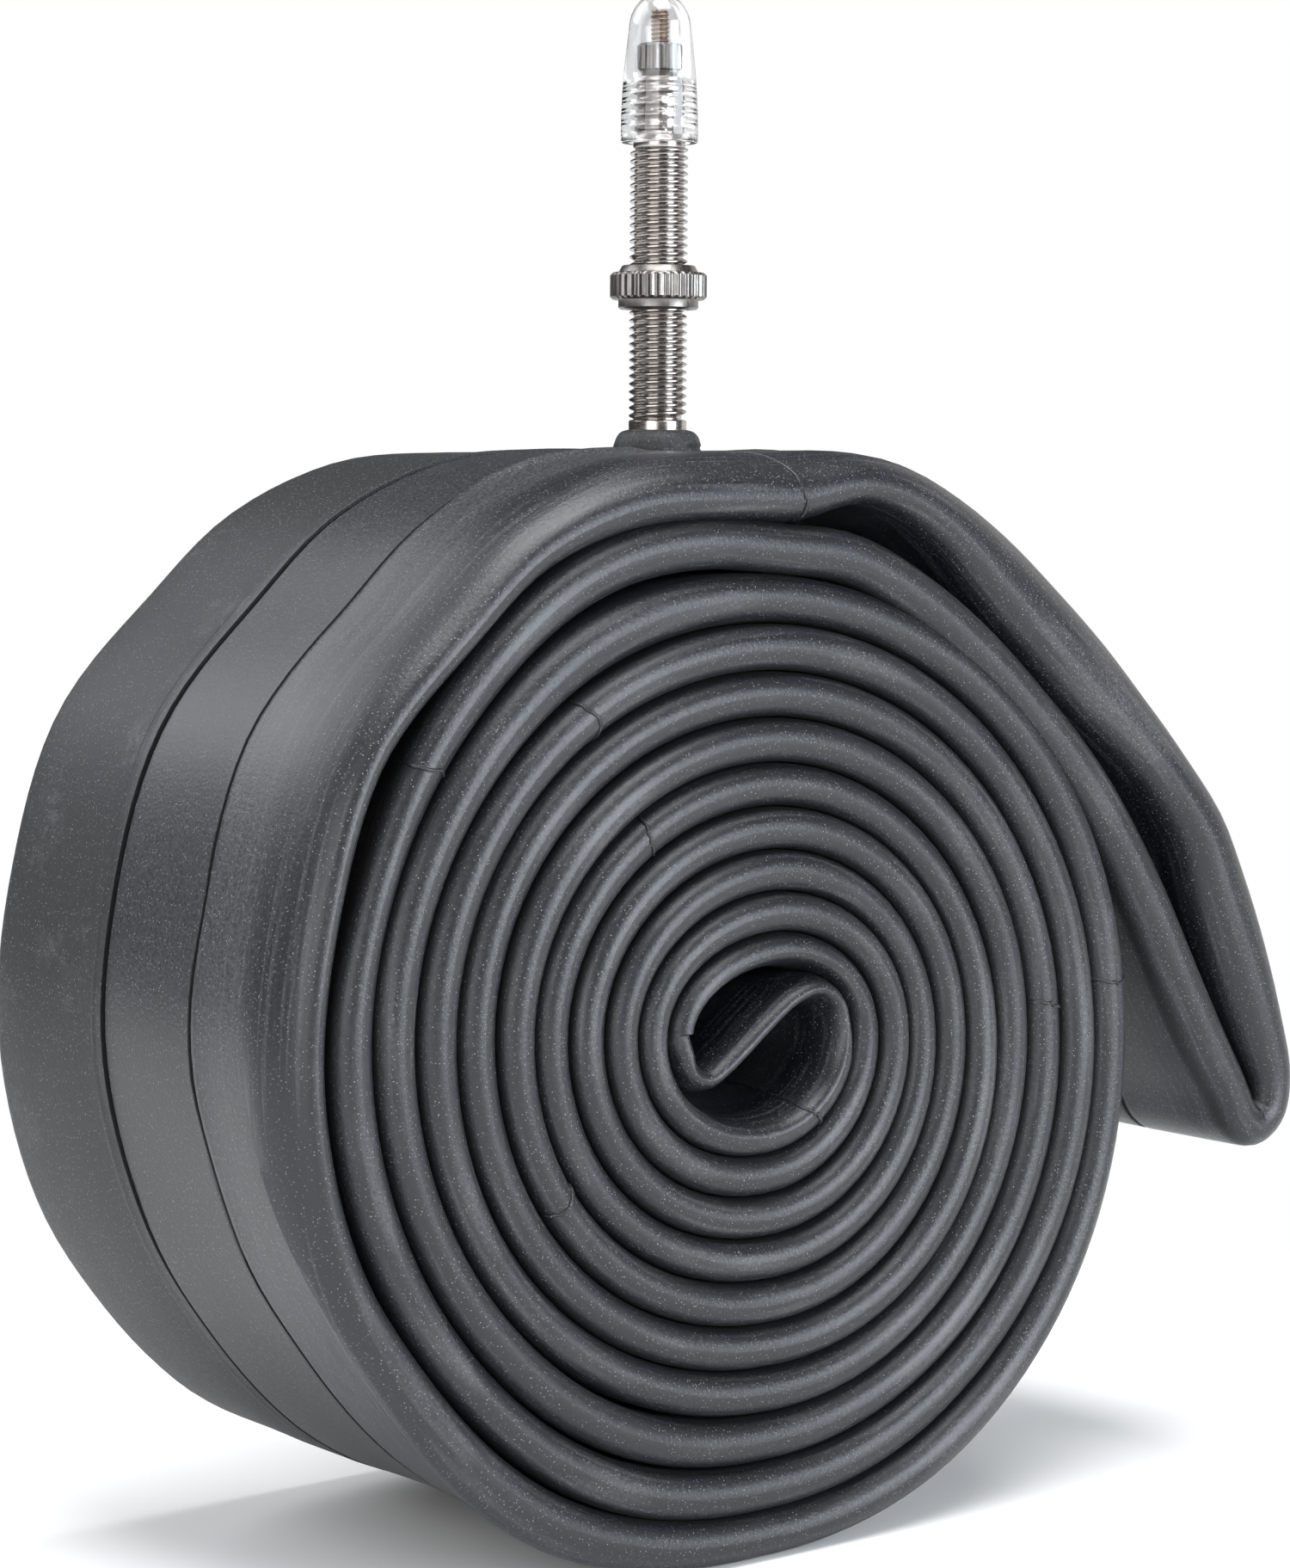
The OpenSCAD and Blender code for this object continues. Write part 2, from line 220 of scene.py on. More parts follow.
spans = [(loop[(i + 1) % len(loop)].xy - loop[i].xy).length for i in range(len(loop))]
hose_length = sum(spans)
station_gap = 0.25
count = int(hose_length / station_gap)
step = hose_length / count
track, i, walked = [], 0, 0.0
for k in range(count):
    while walked + spans[i] < k * step:
        walked += spans[i]
        i += 1
    share = (k * step - walked) / max(1e-9, spans[i])
    track.append(loop[i].lerp(loop[(i + 1) % len(loop)], share))
track = softened(track, 6)
headings = [(track[(k + 1) % count].xy - track[k - 1].xy).normalized() for k in range(count)]
bends = [
    headings[k - 1].angle_signed(headings[(k + 1) % count], 0.0) / (2 * step)
    for k in range(count)
]
bends = softened(bends, 4)

# Cross sections stand closer together where the hose bends more.
least_stride, most_stride, bend_per_ring = 0.3, 2.3, math.radians(6.5)
strides = [
    min(most_stride, max(least_stride, bend_per_ring / max(1e-6, abs(bend)))) for bend in bends
]
wanted = sum(step / stride for stride in strides)
rings = round(wanted)
tally = rings / wanted
stations, walk = [], 0.0
for k in range(count):
    if walk >= len(stations) and len(stations) < rings:
        stations.append(k)
    walk += tally * step / strides[k]
rings = len(stations)


def nearest(spot):
    """The station of the hose that lies nearest to a spot of (x, z)."""
    return min(range(count), key=lambda k: (track[k].xy - Vector(spot[:2])).length)


# The outer strand lies free from the roll's lower left round to the tip.
free_from, free_to = nearest(overlay[0]), nearest(overlay[tip])
tongue_from = count - 115


def ramp(value, low, high):
    """0 up to low and 1 from high, with an even start and end between them."""
    share = min(1.0, max(0.0, (value - low) / (high - low)))
    return share * share * (3 - 2 * share)


def free(k):
    """0 in the roll, and 1 where nothing presses on the hose's outer wall."""
    return ramp(k, free_from + 5, free_from + 95) * (1 - ramp(k, free_to - 160, free_to))


def hollow(k):
    """How far the hose's inner and its outer wall look into the core's open hollows."""
    into_core = ramp(k, tongue_from - 150, tongue_from - 50) * (1 - ramp(k, count - 30, count))
    out_of_core = 1 - ramp(k, 50, 150)
    in_tongue = ramp(k, tongue_from - 10, tongue_from + 10)
    return max(out_of_core, in_tongue), into_core


def pinched(k):
    """1 at the roll's lower left, where the outermost strand's bead swells beside a dip."""
    ending = ramp(k, free_from + 40, free_from + 130)
    return ramp(k, free_from - 230, free_from - 120) * (1 - ending)


def bead_shade(degrees, openness):
    """How much shade is painted on a bead towards the joint with its neighbour, which an open bead
    lacks.
    """
    return 0.9 * ramp(degrees, 32, 80) * (1 - openness)


def section(k):
    """The flattened hose cut across at a station, as (y, height above its middle, painted shade).

    The list runs from the front bead over the outer wall and the back bead to the inner wall.
    """
    x, z, half = track[k]
    run = k * step
    loose = free(k)
    dip = pinched(k)
    inner_hollow, outer_hollow = hollow(k)
    pressed_depth = 1.1 * half
    inner_depth = pressed_depth + (6.5 - pressed_depth) * inner_hollow
    outer_depth = pressed_depth + (8.5 - pressed_depth) * max(loose * 0.85, outer_hollow * 0.7)
    crest = -0.28 * half * loose
    bead_swell = 0.45 * dip

    # The front bead, from the inner wall over its crest to the outer wall
    points = []
    for degrees in range(-85, 0, 14):
        a = math.radians(degrees)
        y = -half_width + inner_depth * (1 - math.cos(a))
        shade = bead_shade(-degrees, max(loose, inner_hollow))
        points.append((y, crest + (half + crest) * math.sin(a), shade))
    for degrees in (0, 9, 19, 30, 42, 55, 69, 82):
        a = math.radians(degrees)
        y = -half_width + outer_depth * (1 - math.cos(a))
        shade = bead_shade(degrees, max(loose, outer_hollow, dip))
        points.append((y, crest + (half + bead_swell - crest) * math.sin(a), shade))

    # The outer wall as (y, height above the wall, painted shade), with a slit behind a lip as the
    # front mould line and a gash before a ribbed ledge as the back one; shade is painted into the
    # slit, the gash and the grooves between the ribs
    wander = noise.noise(Vector((run / 9, 0.5, 0)))
    before_valve = loose * ramp(x, -34, -26) * ramp(-9 - x, 0, 3) * ramp(z, 90, 99)
    ragged = abs(noise.noise(Vector((run / 2.2, 2, 0))))
    front_line = -10.2 + 0.35 * noise.noise(Vector((run / 14, 7.7, 0))) + 0.25 * wander
    slit = 0.5 + 0.45 * max(0, wander) + 1.7 * before_valve * ragged
    slit_end = front_line + slit
    slit_depth = 1.2
    lip = 0.12 + 0.4 * before_valve
    low_left = ramp(-x, 22, 34) * ramp(38 - z, 0, 14) * ramp(z, 4, 12) * loose
    back_line = 4.9 + 0.25 * noise.noise(Vector((run / 18, 4.4, 0)))
    gash = 0.34 + 1.9 * low_left * (0.55 + 0.6 * noise.noise(Vector((run / 5, 9.1, 0))))
    gash_start = back_line - gash
    gash_depth = 1.3
    ledge = 0.32 - 0.15 * low_left
    wall = [
        (-22.6, 0, 0),
        (-21.4, 0, 0),
        (-19.5, 0, 0),
        (-16.5, 0, 0),
        (-13.5, 0, 0),
        (front_line - 1.1, 0, 0),
        (front_line - 0.6, lip * 0.8, 0),
        (front_line - 0.1, lip, 0),
        (front_line - 0.03, lip * 0.5, 1),
        (front_line, -slit_depth, 1),
        (slit_end, -slit_depth, 1),
        (slit_end + 0.02, -0.1, 1),
        (slit_end + 0.08, 0, 0),
        (slit_end + 0.5, 0, 0),
        (-7.5, 0, 0),
        (-4.5, 0, 0),
        (-1.0, 0, 0),
        (1.6, 0, 0),
        (gash_start - 0.4, 0, 0),
        (gash_start - 0.05, 0, 0),
        (gash_start, -0.1, 1),
        (gash_start + 0.05, -gash_depth, 1),
        (back_line - 0.06, -gash_depth, 1),
        (back_line - 0.02, ledge * 0.85, 1),
        (back_line + 0.05, ledge, 0),
        (back_line + 0.4, ledge - 0.07, 0.25),
        (back_line + 0.65, ledge, 0),
        (back_line + 1.0, ledge - 0.09, 0.3),
        (back_line + 1.3, ledge, 0),
        (back_line + 1.75, ledge - 0.02, 0),
        (back_line + 1.95, 0.02, 0.45),
        (back_line + 2.2, 0, 0),
        (9.0, 0, 0),
        (12.5, 0, 0),
        (15.5, 0, 0),
        (18.5, 0, 0),
    ]
    for index, (y, proud, shade) in enumerate(wall):
        # Where the bead is deep, the wall's first points stay in order behind it.
        y = max(y, outer_depth - half_width + 0.15 * index)
        swell = 0.18 * noise.noise(Vector((run / 23, y / 11, 5)))
        on_bead = ramp(-y, 20.2, 23.4)
        sunk = 1.3 * dip * (1 - on_bead) * (1 - ramp(y, -8, 14))
        proud = (proud + swell) * (0.15 + 0.85 * loose) + bead_swell * on_bead
        points.append((y, half + proud - sunk, shade * (0.3 + 0.7 * max(loose, dip))))

    # The back bead and the inner wall
    for degrees in range(84, -91, -16):
        a = math.radians(degrees)
        points.append((half_width - pressed_depth * (1 - math.cos(a)), half * math.sin(a), 0))
    for y in (18, 8, 0, -8, -14, -18):
        points.append((y, -half, 0))
    return points


def hose_point(k, y, height):
    """A section's point in the row frame, with the strand's own sway to the front or back."""
    spot, heading = track[k], headings[k]
    sway = 0.9 * noise.noise(Vector((k * step / 55, 3.1, 0.0)))
    place = spot.xy + Vector((-heading.y, heading.x)) * height
    return Vector((place.x, y + sway, place.y)) * MM


columns = len(section(0))
hose = bmesh.new()
run_uv = hose.loops.layers.uv.new("run")
# The crevice layer is painted shade: how far the colour is darkened in the slits, the gash, the rib
# grooves and the joints between beads.
shade_layer = hose.verts.layers.float.new("painted_crevice_shade")
bmesh.ops.create_grid(hose, x_segments=columns, y_segments=rings, size=1.0)
cuts = [section(k) for k in stations]
for v in hose.verts:
    column = round((v.co.x + 1) / 2 * columns)
    row = round((v.co.y + 1) / 2 * rings)
    for corner in v.link_loops:
        corner[run_uv].uv = (column / columns, row / rings * hose_length * MM)
    y, height, shade = cuts[row % rings][column % columns]
    v.co = hose_point(stations[row % rings], y, height)
    v[shade_layer] = shade

# The roll's rear edge is lifted off the floor, and its lowest point stands on it.
rear_lift = 3.4 * MM
lowest = min(v.co.z for v in hose.verts)
for v in hose.verts:
    to_rear = ramp(v.co.y, -0.02, 0.024)
    to_right = ramp(v.co.x, -0.058, -0.02)
    to_floor = ramp(-v.co.z, -0.045, -0.002)
    raised = rear_lift * to_rear * to_right * to_floor
    v.co.z += raised - lowest * ramp(-v.co.z, -0.016, -0.003)
bmesh.ops.remove_doubles(hose, verts=hose.verts, dist=1e-7)
bmesh.ops.recalc_face_normals(hose, faces=hose.faces)


def finish_piece(bm, name, body, material, slot, *nodes, crease=None):
    """Makes a bmesh an object of that name, on a CAD body and in the stead of CAD nodes.

    Edges that bend by more than the crease's degrees are left sharp.
    """
    for face in bm.faces:
        face.smooth = True
    if crease:
        sharp = math.radians(crease)
        for edge in bm.edges:
            edge.smooth = len(edge.link_faces) < 2 or edge.calc_face_angle(0.0) < sharp
    mesh = bpy.data.meshes.new(name)
    bm.to_mesh(mesh)
    bm.free()
    mesh.materials.append(material)
    piece = bpy.data.objects.new(name, mesh)
    bpy.context.scene.collection.objects.link(piece)
    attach(piece, body)
    if nodes:
        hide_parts(*nodes)
    return piece


def new_finish(name, colour, roughness, metallic=0.0):
    """A material's node tree and shader, with the plain values set on the shader's sockets."""
    material = bpy.data.materials.new(name)
    material.use_nodes = True
    shader = material.node_tree.nodes["Principled BSDF"]
    shader.inputs["Base Color"].default_value = (*colour, 1)
    shader.inputs["Roughness"].default_value = roughness
    shader.inputs["Metallic"].default_value = metallic
    return material, material.node_tree, shader


def add(tree, kind, *inputs, output=0, **settings):
    """Adds a shader node, links or sets its inputs in order (None skips one), gives an output."""
    made = tree.nodes.new("ShaderNode" + kind)
    for key, value in settings.items():
        setattr(made, key, value)
    for socket, value in zip(made.inputs, inputs):
        if isinstance(value, bpy.types.NodeSocket):
            tree.links.new(value, socket)
        elif value is not None:
            socket.default_value = value
    return made.outputs[output]


def maths(tree, operation, *inputs, clamp=False):
    """A number worked out from sockets or values."""
    return add(tree, "Math", *inputs, operation=operation, use_clamp=clamp)


def blotch(tree, place, scale, detail=2.0, rough=0.5):
    """Noise of about 0 to 1 on a place, scale being blotches per metre."""
    return add(tree, "TexNoise", place, None, scale, detail, rough)


def between(tree, value, low, high):
    """0 below low, 1 above high, and even between them."""
    return add(tree, "MapRange", value, low, high, 0.0, 1.0)


def blend_colour(tree, share, first, second):
    """The first colour or socket at a share of 0, and the second at 1."""
    made = tree.nodes.new("ShaderNodeMix")
    made.data_type = "RGBA"
    sockets = made.inputs[0], made.inputs[6], made.inputs[7]
    for socket, value in zip(sockets, (share, first, second)):
        if isinstance(value, bpy.types.NodeSocket):
            tree.links.new(value, socket)
        else:
            socket.default_value = (*value, 1) if isinstance(value, tuple) else value
    return made.outputs[2]


def roughen(tree, shader, height, strength, distance):
    """Bumps a shader's surface by a height of 0 to 1, distance being its metres at 1."""
    bump = tree.nodes.new("ShaderNodeBump")
    bump.inputs["Strength"].default_value = strength
    bump.inputs["Distance"].default_value = distance
    tree.links.new(height, bump.inputs["Height"])
    tree.links.new(bump.outputs[0], shader.inputs["Normal"])


butyl, tree, shader = new_finish("satin_butyl", (0.03, 0.031, 0.035), 0.42)
place = add(tree, "TexCoord", output=3)
axes = tree.nodes.new("ShaderNodeSeparateXYZ")
tree.links.new(place, axes.inputs[0])
along = tree.nodes.new("ShaderNodeSeparateXYZ")
tree.links.new(add(tree, "UVMap", uv_map="run"), along.inputs[0])
painted_crevice_shade = add(tree, "Attribute", output=2, attribute_name="painted_crevice_shade")

# Bands across the width, with cloudy edges, painted light and shade on the one rubber: the front
# bead painted dark and the front panel light, the satin middle darker and the dull back darker
# still
cloud = blotch(tree, place, 70.0, 4.0, 0.6)
wavy_y = maths(tree, "ADD", axes.outputs[1], maths(tree, "MULTIPLY", cloud, 0.004))
behind_front_line = between(tree, wavy_y, -0.0092, -0.0078)
before_back_line = between(tree, wavy_y, 0.0073, 0.0063)
middle = maths(tree, "MULTIPLY", behind_front_line, before_back_line)
back = between(tree, wavy_y, 0.0063, 0.0079)
off_bead = between(tree, wavy_y, -0.0185, -0.0145)
lit = blend_colour(tree, off_bead, (0.007, 0.008, 0.0125), (0.05, 0.051, 0.056))
lit = blend_colour(tree, middle, lit, (0.03, 0.0307, 0.034))
lit = blend_colour(tree, back, lit, (0.011, 0.0114, 0.0135))

# Painted highlight: light streaks that run with the hose over the front panel
drawn = tree.nodes.new("ShaderNodeCombineXYZ")
tree.links.new(maths(tree, "MULTIPLY", axes.outputs[1], 1500.0), drawn.inputs[0])
tree.links.new(maths(tree, "MULTIPLY", along.outputs[1], 45.0), drawn.inputs[1])
streak = add(tree, "TexNoise", drawn.outputs[0], None, 1.0, 2.0, 0.6)
on_front = between(tree, wavy_y, -0.006, -0.011)
strength = maths(tree, "MULTIPLY", on_front, 0.6)
streak_highlight = maths(tree, "MULTIPLY", between(tree, streak, 0.52, 0.7), strength)
lit = blend_colour(tree, streak_highlight, lit, (0.085, 0.087, 0.092))

# Fine grain, slow clouds and talc: tiny white grains, and smears where the talc was wiped
grain = blotch(tree, place, 2800.0, 2.0, 0.6)
# The grain darkens the colour where the bump dips: the rubber's own mottle and painted shade in its
# dents.
grain_dent_shade = blend_colour(tree, 0.75, lit, (0.004, 0.004, 0.005))
lit = blend_colour(tree, between(tree, grain, 0.3, 0.75), grain_dent_shade, lit)
wiped = between(tree, blotch(tree, place, 95.0, 6.0, 0.7), 0.54, 0.78)
broken_up = between(tree, blotch(tree, place, 900.0, 3.0, 0.7), 0.4, 0.7)
smear = maths(tree, "MULTIPLY", wiped, broken_up)
amount = maths(tree, "ADD", 0.07, maths(tree, "MULTIPLY", back, 0.17))
dusty = maths(tree, "MULTIPLY", smear, amount)
lit = blend_colour(tree, dusty, lit, (0.3, 0.3, 0.31))


def talc(cells, reach, seldom):
    """Round white grains, one at most in each cell, and only in a share of the cells."""
    cell = tree.nodes.new("ShaderNodeTexVoronoi")
    tree.links.new(place, cell.inputs["Vector"])
    cell.inputs["Scale"].default_value = cells
    chance = add(tree, "SeparateColor", cell.outputs["Color"])
    near = between(tree, cell.outputs["Distance"], reach, reach * 0.5)
    return maths(tree, "MULTIPLY", near, between(tree, chance, seldom, 1.0))


grains = maths(tree, "MAXIMUM", talc(3000.0, 0.24, 0.0), talc(1300.0, 0.12, 0.5))
lit = blend_colour(tree, maths(tree, "MULTIPLY", grains, 0.34), lit, (0.52, 0.52, 0.53))
# Painted shade: the crevice attribute darkens the colour nearly to black in slits, gashes and the
# joints between beads.
dark = maths(tree, "MULTIPLY", painted_crevice_shade, 0.96, clamp=True)
lit = blend_colour(tree, dark, lit, (0.002, 0.002, 0.002))
tree.links.new(lit, shader.inputs["Base Color"])
dull = add(tree, "MapRange", maths(tree, "MAXIMUM", grain, smear), 0.2, 0.9, 0.35, 0.5)
duller = maths(tree, "MULTIPLY", maths(tree, "MAXIMUM", back, painted_crevice_shade), 0.14)
tree.links.new(maths(tree, "ADD", dull, duller), shader.inputs["Roughness"])
raised_grains = maths(tree, "MULTIPLY", grains, 0.35)
rise = maths(tree, "ADD", maths(tree, "MULTIPLY", grain, 0.5), raised_grains)
roughen(tree, shader, rise, 1.0, 0.00007)
hose_piece = finish_piece(hose, "butyl_hose", "rolled_tube", butyl, "butyl", "tube", crease=52)

# ---- Vent lines ----
# Thin raised threads of butyl across the hose, left where rubber ran into the mould's air vents.
# They were moulded with the hose, and stand a few tenths of a millimetre proud of its bead.

vents = bmesh.new()
vent_spots = [
    (-3.3, 103.6),
    (-47.1, 78.7),
    (-28.8, 82.7),
    (-21.2, 70.6),
    (31.3, 51.2),
    (41.1, 53.2),
    (-31.4, 37.7),
    (-1.2, 42.9),
]
front_bead_points = 20
thread_radius = 0.2 * MM
for number, spot in enumerate(vent_spots):
    k = nearest(spot)
    path, directions = [], []
    for index, (y, height, _) in enumerate(section(k)[:front_bead_points]):
        lean = 0.5 * math.sin(index / 3.0 + number)
        here = (k + round(lean / step)) % count
        path.append(hose_point(here, y, height))
        directions.append(Vector((headings[here].x, 0, headings[here].y)))
    last = len(path) - 1
    ring_before = None
    for index, (point, along_hose) in enumerate(zip(path, directions)):
        ahead = (path[min(index + 1, last)] - path[max(index - 1, 0)]).normalized()
        tapered = thread_radius * min(1.0, 0.35 + 0.3 * min(index, last - index))
        made = bmesh.ops.create_circle(vents, segments=8, radius=tapered)["verts"]
        turn = Matrix((along_hose, ahead.cross(along_hose).normalized(), ahead)).transposed()
        bmesh.ops.rotate(vents, verts=made, cent=(0, 0, 0), matrix=turn)
        bmesh.ops.translate(vents, verts=made, vec=point)
        edges = list({e for v in made for e in v.link_edges})
        if ring_before:
            bmesh.ops.bridge_loops(vents, edges=ring_before + edges)
        else:
            first_ring = edges
        ring_before = edges
    for loop_edges in (first_ring, ring_before):
        bmesh.ops.contextual_create(vents, geom=loop_edges)
bmesh.ops.recalc_face_normals(vents, faces=vents.faces)
finish_piece(vents, "vent_lines", "rolled_tube", butyl, "butyl")

# ---- Rubber foot ----
# A domed patch of grainy black rubber, bonded to the brass stem and vulcanised into the hose.
# Its skirt runs out under the crown's skin.

foot_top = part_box("valve_base")[1].z / MM


def turned(profile, segments=72, closed=False):
    """A bmesh turned about the valve's axis from (radius, height) points in millimetres."""
    bm = bmesh.new()
    verts = [bm.verts.new((r * MM, 0, z * MM)) for r, z in profile]
    edges = [bm.edges.new(pair) for pair in zip(verts, verts[1:])]
    if closed:
        edges.append(bm.edges.new((verts[-1], verts[0])))
    bmesh.ops.spin(
        bm, geom=verts + edges, axis=(0, 0, 1), cent=(0, 0, 0),
        angle=2 * math.pi, steps=segments, use_merge=True,
    )
    bmesh.ops.remove_doubles(bm, verts=bm.verts, dist=1e-6)
    bmesh.ops.recalc_face_normals(bm, faces=bm.faces)
    return bm


foot_radius, foot_swell, foot_dome = 2.95, 1.55, 2.45
foot_side = [
    (0, foot_top - 3.4),
    (7.6, foot_top - 3.4),
    (6.2, foot_top - 3.0),
    (5.0, foot_top - 2.75),
]
for degrees in range(0, 81, 8):
    a = math.radians(degrees)
    r = foot_radius + foot_swell * math.cos(a) ** 0.8
    foot_side.append((r, foot_top - 2.5 + foot_dome * math.sin(a)))
foot = turned(foot_side + [(foot_radius, foot_top), (2.5, foot_top), (0, foot_top)], segments=144)

# A fold runs round part of the foot, and its skin is grainy.
for v in foot.verts:
    out = Vector((v.co.x, v.co.y, 0))
    if out.length > 3.0 * MM:
        around = math.atan2(v.co.y, v.co.x)
        height = v.co.z / MM - foot_top
        grainy = 0.06 * noise.noise(v.co / MM * 1.6)
        off_fold = abs(height + 1.55 - 0.25 * math.sin(around * 1.5))
        fold = 0.22 * ramp(-off_fold, -0.3, 0) * ramp(math.cos(around + 0.75), 0.5, 0.9)
        v.co -= out.normalized() * (fold - grainy) * MM

foot_rubber, tree, shader = new_finish("foot_rubber", (0.03, 0.031, 0.034), 0.6)
place = add(tree, "TexCoord", output=3)
coarse = blotch(tree, place, 1900.0, 3.0, 0.65)
dusting = between(tree, blotch(tree, place, 3800.0, 2.0), 0.6, 0.78)
on_grain = between(tree, coarse, 0.35, 0.7)
tone = blend_colour(tree, on_grain, (0.005, 0.005, 0.006), (0.019, 0.0193, 0.0215))
tone = blend_colour(tree, maths(tree, "MULTIPLY", dusting, 0.35), tone, (0.28, 0.28, 0.29))
tree.links.new(tone, shader.inputs["Base Color"])


roughen(tree, shader, coarse, 0.9, 0.00012)
finish_piece(
    foot, "rubber_foot", "rolled_tube", foot_rubber, "foot_rubber", "valve_base", crease=50
)

# ---- Valve stem ----
# A tube of nickel-plated brass, turned and thread-rolled, with a plain ring above the foot and a
# plain neck at its top. The core screws into the bore at its upper end.

stem_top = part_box("valve_stem")[1].z / MM
stem_radius, neck_radius, bore_radius = 2.9, 2.6, 1.95
neck_foot = stem_top - 1.5
ring_top = foot_top + 0.95


def add_turned(bm, profile, segments=72, closed=False):
    """Turns another profile and joins it to a bmesh."""
    other = turned(profile, segments, closed)
    mesh = bpy.data.meshes.new("turned")
    other.to_mesh(mesh)
    other.free()
    bm.from_mesh(mesh)
    bpy.data.meshes.remove(mesh)


def threaded(crest, root, pitch, low, high, inner, steps=48):
    """A rolled thread as a closed sleeve from low to high, with rounded crests and roots."""
    turns = round((high - low) / pitch) - 1
    pitch = (high - low) / (turns + 1)
    rising = [(0.0, 0.0), (0.1, 0.06), (0.2, 0.36), (0.36, 0.86), (0.45, 0.99)]
    falling = [(0.55, 0.99), (0.64, 0.86), (0.8, 0.36), (0.9, 0.06), (1.0, 0.0)]
    bm = bmesh.new()
    verts = []
    for share, rise in rising + falling:
        r = root + (crest - root) * rise
        verts.append(bm.verts.new((r * MM, 0, (low + share * pitch) * MM)))
    edges = [bm.edges.new(pair) for pair in zip(verts, verts[1:])]
    bmesh.ops.spin(
        bm, geom=verts + edges, axis=(0, 0, 1), cent=(0, 0, 0), dvec=(0, 0, pitch / steps * MM),
        angle=2 * math.pi * turns, steps=steps * turns, use_merge=False,
    )
    bmesh.ops.remove_doubles(bm, verts=bm.verts, dist=2e-6)
    rims = [e for e in bm.edges if e.is_boundary]
    made = bmesh.ops.extrude_edge_only(bm, edges=rims)["geom"]
    made = [v for v in made if isinstance(v, bmesh.types.BMVert)]
    middle = (low + high) / 2 * MM
    for v in made:
        v.co.xy = v.co.xy.normalized() * inner * MM
        v.co.z = (low if v.co.z < middle else high) * MM
    bmesh.ops.remove_doubles(bm, verts=made, dist=2e-6)
    inner_rims = [e for e in bm.edges if e.is_boundary]
    if inner_rims:
        bmesh.ops.bridge_loops(bm, edges=inner_rims)
    bmesh.ops.recalc_face_normals(bm, faces=bm.faces)
    return bm


stem = threaded(stem_radius, 2.4, 0.794, ring_top - 0.25, neck_foot + 0.3, 2.25)
add_turned(
    stem,
    [
        (0, foot_top - 2.0),
        (2.8, foot_top - 2.0),
        (stem_radius, foot_top - 0.2),
        (stem_radius, ring_top - 0.12),
        (2.8, ring_top),
        (2.36, ring_top + 0.1),
        (2.36, neck_foot - 0.1),
        (neck_radius - 0.04, neck_foot),
        (neck_radius, neck_foot + 0.15),
        (neck_radius, stem_top - 0.22),
        (neck_radius - 0.12, stem_top),
        (bore_radius + 0.25, stem_top),
        (bore_radius, stem_top - 0.25),
        (bore_radius, stem_top - 15.6),
        (1.2, stem_top - 16.0),
        (1.2, stem_top - 24),
        (0, stem_top - 24),
    ],
)


def plated(name, colour, roughness, wear, brushed=0.0):
    """Metal with fine marks round or, where brushed, along its axis, slight stains and dents."""
    material, tree, shader = new_finish(name, colour, roughness, 1.0)
    place = add(tree, "TexCoord", output=3)
    stain = blotch(tree, place, 700.0, 4.0, 0.65)
    pits = blotch(tree, place, 5200.0, 2.0, 0.6)
    tone = blend_colour(tree, between(tree, stain, 0.4, 0.75), colour, wear)
    in_pit = maths(tree, "MULTIPLY", between(tree, pits, 0.58, 0.75), 0.3)
    tone = blend_colour(tree, in_pit, tone, (0.2, 0.18, 0.16))
    tree.links.new(tone, shader.inputs["Base Color"])
    stretched = tree.nodes.new("ShaderNodeMapping")
    tree.links.new(place, stretched.inputs[0])
    stretched.inputs["Scale"].default_value = (1.0, 1.0, 0.08 if brushed else 9.0)
    marks = blotch(tree, stretched.outputs[0], 900.0 + 5000.0 * brushed, 2.0, 0.6)
    worn = add(tree, "MapRange", marks, 0.3, 0.75, roughness, roughness + 0.14)
    tree.links.new(worn, shader.inputs["Roughness"])
    height = maths(tree, "ADD", marks, maths(tree, "MULTIPLY", pits, 0.6))
    roughen(tree, shader, height, 0.3 + brushed, 0.00002)
    return material


nickel = plated("bright_nickel", (0.42, 0.395, 0.375), 0.15, (0.29, 0.265, 0.25))
finish_piece(stem, "threaded_stem", "rolled_tube", nickel, "nickel", "valve_stem", crease=38)

# ---- Rim nut ----
# A knurled ring of nickel-plated brass that runs on the stem's thread and is tightened by hand
# against the rim. A bevelled collar is turned above its band and a plain collar below it.

nut_low, nut_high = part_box("rim_nut")
nut_foot, nut_top, nut_radius = nut_low.z / MM, nut_high.z / MM, nut_high.x / MM
band_foot, band_top = nut_foot + 0.95, nut_foot + 3.65
knurls = 34


def knurl(bm, radius, low, high, teeth, depth, sharp=1.0):
    """Presses rounded teeth into the part of a turned bmesh that stands near a radius."""
    for v in bm.verts:
        r = v.co.xy.length / MM
        if r > radius - 0.35 and low - 0.01 < v.co.z / MM < high + 0.01:
            around = math.atan2(v.co.y, v.co.x)
            dip = depth * (0.5 - 0.5 * math.cos(teeth * around)) ** sharp
            v.co.xy = v.co.xy.normalized() * (r - dip) * MM


rim_nut = turned(
    [
        (2.98, nut_foot + 0.55),
        (3.45, nut_foot + 0.05),
        (3.55, nut_foot),
        (3.82, nut_foot),
        (4.0, nut_foot + 0.18),
        (4.0, band_foot - 0.05),
        (4.02, band_foot),
        (4.52, band_foot),
        (4.62, band_foot + 0.05),
        (nut_radius, band_foot + 0.3),
        (nut_radius, band_foot + 0.4),
        (nut_radius, band_top - 0.4),
        (nut_radius, band_top - 0.3),
        (4.6, band_top - 0.05),
        (4.5, band_top),
        (4.02, band_top),
        (3.98, band_top + 0.05),
        (3.66, nut_top - 0.06),
        (3.55, nut_top),
        (3.3, nut_top),
        (2.98, nut_top - 0.3),
    ],
    segments=knurls * 8,
    closed=True,
)
knurl(rim_nut, nut_radius, band_foot + 0.2, band_top - 0.2, knurls, 0.24, 0.8)
